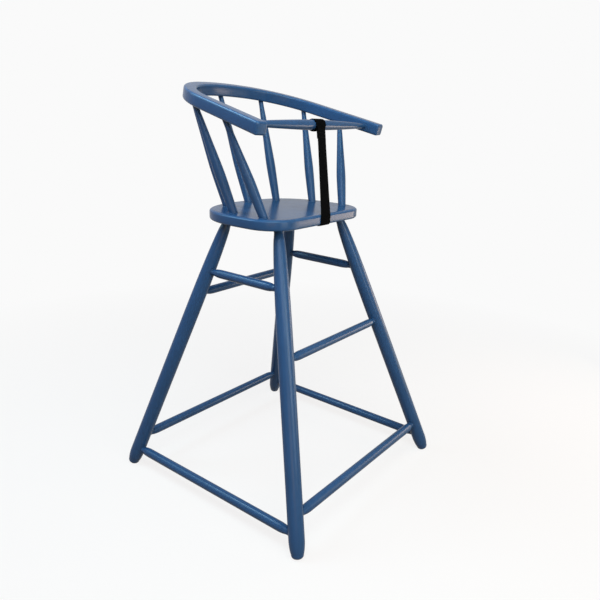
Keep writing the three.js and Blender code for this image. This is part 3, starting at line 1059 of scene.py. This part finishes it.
def turned_spindle(side, across, along, share):
    foot = np.array([side * SEAT_HALF_WIDTH * across, SEAT_BACK_REACH * along, SEAT_HEIGHT])
    head = rail_point(side, share, -RAIL_DEPTH / 2)
    way = unit(head - foot)
    shown = np.linalg.norm(head - foot)
    knots = [(SPINDLE_TENON + shown * place, SPINDLE_RADIUS * size) for place, size in SPINDLE_SHAPE]
    knots = [(0, knots[0][1])] + knots + [(2 * SPINDLE_TENON + shown, knots[-1][1])]
    return Turned(foot - way * SPINDLE_TENON, head + way * SPINDLE_TENON, knots, SLIM_SIDES), shown


def bar_ends():
    share = 1 - BAR_SETBACK / RAIL_HALF_LENGTH
    return rail_point(-1, share, 0), rail_point(1, share, 0)


def turned_bar():
    left, right = bar_ends()
    way = unit(right - left)
    start, end = left + way * BAR_STOP, right - way * BAR_STOP
    length = np.linalg.norm(end - start)
    rising = [(length * along, BAR_RADIUS * size) for along, size in BAR_SHAPE]
    falling = [(length - distance, radius) for distance, radius in reversed(rising[:-1])]
    small = rising[0][1]
    return Turned(start, end, [(0, small), *rising, *falling, (length, small)], BAR_SIDES)


def build_upper():
    rail = Shell.of(bent_rail())
    painted_piece("bent_arm_rail", rail, "arm_rail", rail_arris(rail))
    seat_face = flat_host([0, 0, SEAT_HEIGHT], [0, 0, 1])
    rail_face = flat_host(rail_placed([0, 0, -RAIL_DEPTH / 2]), rail_turned([0, 0, -1]))
    number = 0
    for pair, (across, along, share) in SPINDLES.items():
        sides = [("", 1)] if across == 0 else [("_right", -1), ("_left", 1)]
        for suffix, side in sides:
            piece, shown = turned_spindle(side, across, along, share)
            number += 1
            body = Shell.of(piece.mesh(grain_cut("spindle", number)))
            low = piece.fillet(seat_face, SPINDLE_TENON, 1)
            high = piece.fillet(rail_face, SPINDLE_TENON + shown, -1, SMALL_PAINT_BEAD)
            name = f"spindle_{pair}{suffix}"
            painted_piece(f"turned_{name}", body.joined(low, high), name)
    bar = turned_bar()
    (x, y), heading = rail_half_point(RAIL_HALF_LENGTH - BAR_SETBACK)
    corners = []
    for side, near, leaving in ((-1, 0, 1), (1, bar.length, -1)):
        inward = np.array([-side * math.sin(heading), -math.cos(heading), 0])
        face = rail_placed(np.array([side * x, y, 0]) + inward * RAIL_WIDTH / 2)
        host = flat_host(face, rail_turned(inward))
        corners.append(bar.fillet(host, near + leaving * RAIL_WIDTH / 2, leaving, SMALL_PAINT_BEAD))
    body = Shell.of(bar.mesh(BAR_GRAIN_CUT))
    painted_piece("turned_front_bar", body.joined(*corners), "front_bar")


# Strap
class StrapPath:
    """The band's middle line across the bar, from its sewn end to its screwed end."""

    def __init__(self):
        self.bar = bar_ends()[0][1:]
        self.loop = BAR_RADIUS + STRAP_GAP + STRAP_THICKNESS / 2
        self.edge = SEAT_EDGE_ROUND + STRAP_GAP + STRAP_THICKNESS / 2
        self.top = np.array([SEAT_EDGE_ROUND - SEAT_FRONT_REACH, SEAT_HEIGHT - SEAT_EDGE_ROUND])
        between = self.top - self.bar
        slant = math.asin((self.loop - self.edge) / np.linalg.norm(between))
        self.begin = (math.atan2(between[1], between[0]) - QUARTER + slant) % TURN
        self.front = np.array([math.cos(self.begin), math.sin(self.begin)])
        down = np.array([-self.front[1], self.front[0]])
        self.down = -down if down[1] > 0 else down
        self.start = self.bar + self.front * self.loop
        self.length = np.linalg.norm(self.top + self.front * self.edge - self.start)
        self.layer = STRAP_THICKNESS + STRAP_LAYER_GAP
        offset = self.loop - self.layer - STRAP_HUMP
        self.drop = math.sqrt((self.loop + STRAP_HUMP) ** 2 - offset ** 2)
        self.hump = self.bar + self.front * offset + self.down * self.drop

    def sway(self, distance):
        """The band's place across the chair and its lean, at a distance down from the bar."""
        share = min(1.0, distance / self.length)
        rise = min(1.0, distance / STRAP_LEAN_RUN) ** 2
        fade = min(1.0, (1 - share) / STRAP_LEAN_FADE) ** STRAP_LEAN_POWER
        return STRAP_AT_BAR + (STRAP_AT_SEAT - STRAP_AT_BAR) * share, STRAP_LEAN * rise * fade

    def seam_spot(self, distance):
        """The middle of the outer layer with the ways across, along and out of the band."""
        x, lean = self.sway(distance)
        y, z = self.start + self.down * distance
        out = unit([math.sin(lean), *(self.front * math.cos(lean))])
        along = unit([(STRAP_AT_SEAT - STRAP_AT_BAR) / self.length, *self.down])
        return np.array([x, y, z]), unit(np.cross(out, along)), along, out

    def points(self):
        """Each point of the line with the way that the band's outer face looks there."""
        line = []

        def add(place, face, x, lean):
            out = unit([math.sin(lean), *(np.asarray(face) * math.cos(lean))])
            point = np.array([x, *place])
            if not line or np.linalg.norm(point - line[-1][0]) > STRAP_LEAST_STEP:
                line.append((point, out))

        def arc(centre, radius, first, last):
            count = max(4, math.ceil(abs(last - first) * radius / STRAP_STEP))
            for share in np.linspace(0, 1, count + 1):
                way = first + (last - first) * share
                yield share, centre, radius, np.array([math.cos(way), math.sin(way)])

        back = -self.front * self.layer
        for distance in np.linspace(self.drop + STRAP_SEAM, self.drop, STRAP_SEAM_STEPS)[:-1]:
            x, lean = self.sway(distance)
            add(self.start + back + self.down * distance, -self.front, x, -lean)
        x, lean = self.sway(self.drop)
        contact = math.atan2(*(self.bar - self.hump)[::-1])
        for share, centre, radius, way in arc(self.hump, STRAP_HUMP, self.begin, contact):
            left = lean * (1 - share * (1 - STRAP_LOOP_LEAN))
            add(centre + way * radius, -way, x + (STRAP_AT_BAR - x) * share, -left)
        round_bar = arc(self.bar, self.loop, contact + math.pi, self.begin + TURN)
        for share, centre, radius, way in round_bar:
            left = lean * STRAP_LOOP_LEAN * max(0.0, 1 - share * STRAP_LOOP_FADE) ** 2
            add(centre + way * (radius + STRAP_WIDTH / 2 * math.sin(left)), way, STRAP_AT_BAR, left)
        for distance in np.arange(STRAP_STEP, self.length, STRAP_STEP):
            add(self.start + self.down * distance, self.front, *self.sway(distance))
        for _, centre, radius, way in arc(self.top, self.edge, self.begin, math.pi):
            add(centre + way * radius, way, STRAP_AT_SEAT, 0)
        low = np.array([self.top[0], SEAT_HEIGHT - SEAT_THICKNESS + SEAT_EDGE_ROUND])
        for share in np.linspace(0, 1, STRAP_EDGE_STEPS)[1:-1]:
            height = self.top[1] + (low[1] - self.top[1]) * share
            add([low[0] - self.edge, height], [-1, 0], STRAP_AT_SEAT, 0)
        for _, centre, radius, way in arc(low, self.edge, math.pi, 3 * QUARTER):
            add(centre + way * radius, way, STRAP_AT_SEAT, 0)
        for y in np.arange(low[0], STRAP_UNDER_REACH - SEAT_FRONT_REACH, STRAP_STEP):
            add([y, low[1] - self.edge], [0, -1], STRAP_AT_SEAT, 0)
        return line


def stitched_seam(path):
    """A box of stitches on both faces of the seam, one stitch of thread to each pitch."""
    half = STRAP_WIDTH / 2 - SEAM_INSET[0]
    near, far = path.drop + SEAM_INSET[1], path.drop + STRAP_SEAM - SEAM_INSET[1]
    corners = [(-half, near), (half, near), (half, far), (-half, far), (-half, near)]
    spots, ways, faces = [], [], []
    for (x, low), (next_x, high) in zip(corners, corners[1:]):
        reach = math.hypot(next_x - x, high - low)
        count = round(reach / STITCH_PITCH)
        for number in range(count):
            share = (number + 0.5) / count
            middle, across, along, out = path.seam_spot(low + (high - low) * share)
            way = unit(across * (next_x - x) + along * (high - low))
            lift = STRAP_THICKNESS / 2 + THREAD_RADIUS * 0.5
            for side, depth in ((1, lift), (-1, lift + path.layer)):
                spots.append((middle + across * (x + (next_x - x) * share) + out * side * depth) * MM)
                ways.append(way)
                faces.append(out * side)
    stock = point_stock(spots, [], {"way": ways, "face": faces})
    sizes = {"Stitch length": STITCH_LENGTH * MM, "Thread radius": THREAD_RADIUS * MM}
    mesh = STITCHES.run(stock, sizes, "thread")
    smoothed(mesh)
    return make_piece("seam_stitches", mesh, None, "thread")


def build_strap():
    path = StrapPath()
    line, faces = zip(*path.points())
    stock = line_stock(np.array(line) * MM, {"face": faces})
    sizes = {
        "Width": STRAP_WIDTH * MM,
        "Thickness": STRAP_THICKNESS * MM,
        "Rib pitch": RIB_PITCH * MM,
        "Rib height": RIB_HEIGHT * MM,
    }
    mesh = LOOM.run(stock, sizes, "strap_webbing")
    smoothed(mesh)
    strap = make_piece("webbing_strap", mesh, "crotch_strap", "strap_webbing")
    stitches = stitched_seam(path)


# Screw and washer under the seat
SCREW_FORWARD = SCREW_INSET - SEAT_FRONT_REACH
CLEARANCE = 0.3
WASHER_TOP = SEAT_HEIGHT - SEAT_THICKNESS - STRAP_GAP - STRAP_THICKNESS - CLEARANCE
HEAD_TOP = WASHER_TOP - WASHER_THICKNESS - CLEARANCE
RECESS_DEPTH = 1.7
RECESS_WIDTH = (4.6, 2.2)
RECESS_BLADE = 0.95
RECESS_PAST = 0.3
RECESS_FLARE = 0.4
HEAD_CROWN = 0.5
HEAD_DOME = 0.86
HEAD_EASE = 0.12
HEAD_MIDDLE = 0.4
HEAD_STEPS = 12
PLAIN_SHANK = 2.4
SHANK_STEP = 0.6
SCREW_POINT = 3.0
SCREW_TIP = ((0.2, 0.25), (0, 0.08))
SCREW_SIDES = 48
POINT_RADIUS = 0.3
POINT_SLANT = 0.55
THREAD_PITCH = 1.8
THREAD_DEPTH = 0.42
THREAD_BASE = 0.4
THREAD_SUNK = 0.15
THREAD_PROUD = 0.02
THREAD_START = 0.2
THREAD_END = 1.2
THREAD_RISE = 12
THREAD_FALL = 8
THREAD_STEPS = 20
WASHER_EASES = (0.12, 0.45, 0.3, 0.1)
WASHER_STEPS = 6
WASHER_SIDES = 64


def plated_piece(name, mesh, node):
    smoothed(mesh, METAL_CREASE)
    make_piece(name, mesh, node, "plated_steel")


def recess_blade(turned):
    """One tapered blade of the driver whose cross is pressed into the head."""
    work = bmesh.new()
    bottom = HEAD_TOP - SCREW_HEAD_HEIGHT
    mouth = (bottom - RECESS_PAST, RECESS_WIDTH[0] + RECESS_FLARE)
    for height, width in (mouth, (bottom + RECESS_DEPTH, RECESS_WIDTH[1])):
        for x in (-width / 2, width / 2):
            for y in (-RECESS_BLADE / 2, RECESS_BLADE / 2):
                plan = (y, x) if turned else (x, y)
                work.verts.new(Vector((plan[0], plan[1] + SCREW_FORWARD, height)) * MM)
    bmesh.ops.convex_hull(work, input=work.verts)
    mesh = bpy.data.meshes.new("blade")
    work.to_mesh(mesh)
    work.free()
    return put("blade", mesh)


def pan_screw():
    bottom, tip = HEAD_TOP - SCREW_HEAD_HEIGHT, SEAT_HEIGHT - SEAT_THICKNESS + SCREW_GRIP
    crown = SCREW_HEAD_RADIUS * HEAD_CROWN
    profile = [(0, HEAD_MIDDLE), (0, crown)]
    for angle in QUARTER * np.linspace(0, 1, HEAD_STEPS)[1:]:
        out = crown + (SCREW_HEAD_RADIUS - crown) * math.sin(angle)
        profile.append((SCREW_HEAD_HEIGHT * HEAD_DOME * (1 - math.cos(angle)), out))
    core = SCREW_SHANK_RADIUS - THREAD_DEPTH
    reach = tip - bottom
    profile += [
        (SCREW_HEAD_HEIGHT - HEAD_EASE, SCREW_HEAD_RADIUS),
        (SCREW_HEAD_HEIGHT, SCREW_HEAD_RADIUS - HEAD_EASE),
        (SCREW_HEAD_HEIGHT, SCREW_SHANK_RADIUS),
        (SCREW_HEAD_HEIGHT + PLAIN_SHANK, SCREW_SHANK_RADIUS),
        (SCREW_HEAD_HEIGHT + PLAIN_SHANK + SHANK_STEP, core),
        (reach - SCREW_POINT, core),
    ]
    profile += [(reach - short, radius) for short, radius in SCREW_TIP]
    heights, radii = np.array(profile).T
    place = np.array([0, SCREW_FORWARD, 0])
    ends, uncut = (place, place + UP), (0.0, 0.0, 0.0)
    holder = put("screw", lathed(ends, bottom + heights, radii, SCREW_SIDES, uncut, "plated_steel"))
    blades = [recess_blade(False), recess_blade(True)]
    for blade in blades:
        cut = holder.modifiers.new("recess", "BOOLEAN")
        cut.object, cut.operation, cut.solver = blade, "DIFFERENCE", "EXACT"
    head = result_of(holder)
    for blade in blades:
        bpy.data.objects.remove(blade)
    work = bmesh.new()
    work.from_mesh(head)
    first = bottom + SCREW_HEAD_HEIGHT + PLAIN_SHANK + THREAD_START
    helix_ridge(work, first, tip - THREAD_END, tip)
    work.to_mesh(head)
    work.free()
    plated_piece("pan_head_screw", head, "strap_screw")


def helix_ridge(work, low, high, tip):
    """The thread: a sharp ridge that winds up the core and runs out at the point."""
    turns = (high - low) / THREAD_PITCH
    steps, spots = math.ceil(turns * THREAD_STEPS), []
    for share in np.linspace(0, 1, steps):
        angle, height = TURN * turns * share, low + (high - low) * share
        core = max(POINT_RADIUS, (tip - height) * POINT_SLANT)
        core = min(SCREW_SHANK_RADIUS - THREAD_DEPTH, core)
        crest = core + THREAD_DEPTH * min(1, share * THREAD_RISE, (1 - share) * THREAD_FALL)
        out = np.array([math.cos(angle), math.sin(angle), 0])
        middle = np.array([0, SCREW_FORWARD, height])
        root = middle + out * (core - THREAD_SUNK)
        edge = middle + out * (crest + THREAD_PROUD)
        row = [root - UP * THREAD_BASE, edge, root + UP * THREAD_BASE]
        spots += [work.verts.new(point * MM) for point in row]
    for face in bands(steps, 3, closed=False):
        work.faces.new([spots[number] for number in face])
    work.faces.new(spots[:3])
    work.faces.new(spots[:-4:-1])


def eased_washer():
    """A stamped ring: rounded on the side that the punch met and nearly sharp on the other."""
    hole = SCREW_SHANK_RADIUS + CLEARANCE
    top, bottom = WASHER_TOP, WASHER_TOP - WASHER_THICKNESS
    corners = [
        (WASHER_RADIUS, top, -1, -1), (WASHER_RADIUS, bottom, -1, 1),
        (hole, bottom, 1, 1), (hole, top, 1, -1),
    ]
    section = []
    for number, (radius, height, inward, upward) in enumerate(corners):
        ease = WASHER_EASES[number]
        for angle in QUARTER * (1 - number - np.linspace(0, 1, WASHER_STEPS)):
            out = radius + ease * (inward + math.cos(angle))
            section.append((out, height + ease * (upward + math.sin(angle))))
    points = []
    for number in range(WASHER_SIDES):
        angle = TURN * number / WASHER_SIDES
        for radius, height in section:
            x, y = radius * math.cos(angle), SCREW_FORWARD + radius * math.sin(angle)
            points.append((x * MM, y * MM, height * MM))
    mesh = bpy.data.meshes.new("washer")
    mesh.from_pydata(points, [], bands(WASHER_SIDES, len(section)))
    plated_piece("eased_washer", mesh, "strap_washer")


build_base()
build_upper()
paint_all()
build_strap()
pan_screw()
eased_washer()


# Floor, light and camera, in metres. The backdrop's brightness, and the share of it in reflections
BACKDROP = 0.956
MIRRORED = 0.7

# The floor: what it takes of the lamps and so shows as shadow, what it shows without them, what it
# throws on the chair, and from where to where it runs into the backdrop
FLOOR_LIT = (0.140, 0.118, 0.112)
FLOOR_GLOW = 0.812
FLOOR_BOUNCE = 0.08
FLOOR_FADE = (0.5, 1.5)
FLOOR_REACH = 60

# Light from all round: from one side, and from above
SKY_KEY = (0.34, 0.12, 0.08)
SKY_TOP = (0.1, 0.12, 0.08)
KEY_WAY = (-0.60, -0.52, 0.61)
SOFTBOXES = [
    # name, azimuth, elevation, distance, aim height, width, height, radiance in three colours
    ("overhead_front", -130, 66, 1.92, 0, 0.8, 0.8, (1.61, 2.75, 2.8)),
    ("above_front", -135, 62, 1.5, 0.6, 0.9, 0.9, (2.2, 3.4, 3.27)),
    ("front_middle", -138, 28, 1.7, 0.6, 0.9, 0.7, (3.08, 3.59, 4.01)),
    ("front_left", -166, 32, 1.7, 0.6, 0.9, 0.6, (2.27, 2.71, 3.61)),
    ("front_right", -108, 22, 1.7, 0.6, 0.8, 0.7, (2.61, 3.31, 3.15)),
    ("right", -98, 14, 1.6, 0.5, 0.8, 0.5, (2.89, 3.22, 3.18)),
    ("front_low", -138, 5, 1.7, 0.4, 0.9, 0.5, (1.81, 1.32, 0.61)),
    ("right_low", -95, 5, 1.4, 0.4, 0.6, 0.5, (2.75, 3.05, 3.06)),
    ("card_warm", -34, 0, 1.12, 0.43, 0.45, 0.26, (5.06, 3.89, 3.26)),
    ("card_right", -42, 0, 1.12, 0.33, 0.95, 0.6, (1.6, 1.5, 1.1)),
    ("window", 126, 36, 1.6, 0.6, 1.05, 1.2, (1.26, 2.61, 3.2)),
    ("window_middle", 124, 47, 1.6, 0.6, 0.5, 0.55, (5.6, 8.8, 11.8)),
]


def seen_directly(board):
    """One for what the camera, a mirror or a pane shows, nought for the light that falls on things."""
    path = board.node("ShaderNodeLightPath")
    seen = path.out("Is Camera Ray").above(path.out("Is Glossy Ray"))
    return seen.above(path.out("Is Transmission Ray"))


def mirror_loss(board):
    """What a mirror image loses of the backdrop's brightness."""
    return board.node("ShaderNodeLightPath").out("Is Glossy Ray") * (1 - MIRRORED)


def pale_floor():
    floor = Finish("pale_floor")
    lit = floor.node("ShaderNodeBsdfDiffuse", {}, {"Color": colour(*FLOOR_LIT)})
    near = floor.node("ShaderNodeAddShader", {}, {0: lit, 1: floor.glow(FLOOR_GLOW)})
    from_chair = floor.vector("LENGTH", floor.object_place()).out("Value")
    start, end = FLOOR_FADE
    fade = ((from_chair - start) * (1 / (end - start))).above(0.0).below(1.0)
    seen = floor.blend(fade, near, floor.glow(BACKDROP))
    shown = floor.blend(mirror_loss(floor), seen, floor.glow(0.0))
    dull = floor.node("ShaderNodeBsdfDiffuse", {}, {"Color": grey(FLOOR_BOUNCE)})
    face = floor.blend(seen_directly(floor), dull, shown)
    floor.node("ShaderNodeOutputMaterial", {}, {"Surface": face})
    mesh = bpy.data.meshes.new("floor")
    corners = [(x * FLOOR_REACH, y * FLOOR_REACH, 0) for x, y in ((-1, -1), (1, -1), (1, 1), (-1, 1))]
    mesh.from_pydata(corners, [], [(0, 1, 2, 3)])
    mesh.materials.append(floor.material)
    plane = put("floor", mesh)


def studio_sky():
    world = bpy.data.worlds.new("studio")
    bpy.context.scene.world = world
    world.use_nodes = True
    world.node_tree.nodes.clear()
    sky = Board(world.node_tree)
    way = sky.node("ShaderNodeTexCoord").out("Generated")
    toward = sky.vector("DOT_PRODUCT", way, tuple(unit(KEY_WAY))).out("Value")
    height = sky.apart(way).out("Z").above(0.0)
    key = sky.scaled(SKY_KEY, (toward * 0.5 + 0.5) ** 3.0)
    top = sky.scaled(SKY_TOP, height * height)
    falling = {"Color": sky.vector("ADD", key, top), "Strength": 1.0}
    seen = {"Color": grey(BACKDROP), "Strength": 1.0 - mirror_loss(sky)}
    light, backdrop = (sky.node("ShaderNodeBackground", {}, ends) for ends in (falling, seen))
    shown = sky.blend(seen_directly(sky), light, backdrop)
    sky.node("ShaderNodeOutputWorld", {}, {"Surface": shown})


def softboxes():
    for name, azimuth, elevation, distance, aim, width, height, radiance in SOFTBOXES:
        azimuth, elevation = math.radians(azimuth), math.radians(elevation)
        level = math.cos(elevation)
        way = Vector((math.cos(azimuth) * level, math.sin(azimuth) * level, math.sin(elevation)))
        lamp = bpy.data.lights.new(name, "AREA")
        lamp.shape = "RECTANGLE"
        lamp.size, lamp.size_y = width, height
        lamp.energy = max(radiance) * math.pi * width * height
        lamp.color = [value / max(radiance) for value in radiance]
        box = put(name, lamp)
        box.location = Vector((0, 0, aim)) + way * distance
        box.rotation_euler = (-way).to_track_quat("-Z", "Y").to_euler()
        box.visible_camera = False


CAMERA_PLACE = (-0.89862, -0.71371, 0.73279)
CAMERA_AZIMUTH = math.radians(52.6264)
CAMERA_DROP = math.radians(20.9902)
CAMERA_ROLL = math.radians(2.1545)
CAMERA_FOCAL = 573.564
CAMERA_CENTRE = (296.930, 337.248)
PICTURE = 600
SENSOR_WIDTH = 36
CLIP = (0.05, 200)


def place_camera():
    forward = Vector((
        math.sin(CAMERA_AZIMUTH) * math.cos(CAMERA_DROP),
        math.cos(CAMERA_AZIMUTH) * math.cos(CAMERA_DROP),
        -math.sin(CAMERA_DROP),
    ))
    level = Vector((math.cos(CAMERA_AZIMUTH), -math.sin(CAMERA_AZIMUTH), 0))
    upright = level.cross(forward)
    right = level * math.cos(CAMERA_ROLL) + upright * math.sin(CAMERA_ROLL)
    up = upright * math.cos(CAMERA_ROLL) - level * math.sin(CAMERA_ROLL)
    turned = Matrix((right, up, -forward)).transposed().to_4x4()
    data = bpy.data.cameras.new("camera")
    data.sensor_width = SENSOR_WIDTH
    data.lens = SENSOR_WIDTH * CAMERA_FOCAL / PICTURE
    data.shift_x = 0.5 - CAMERA_CENTRE[0] / PICTURE
    data.shift_y = CAMERA_CENTRE[1] / PICTURE - 0.5
    data.clip_start, data.clip_end = CLIP
    camera = put("camera", data)
    camera.matrix_world = Matrix.Translation(CAMERA_PLACE) @ turned
    bpy.context.scene.camera = camera


pale_floor()
studio_sky()
softboxes()
place_camera()
bpy.context.scene.view_settings.view_transform = "Standard"
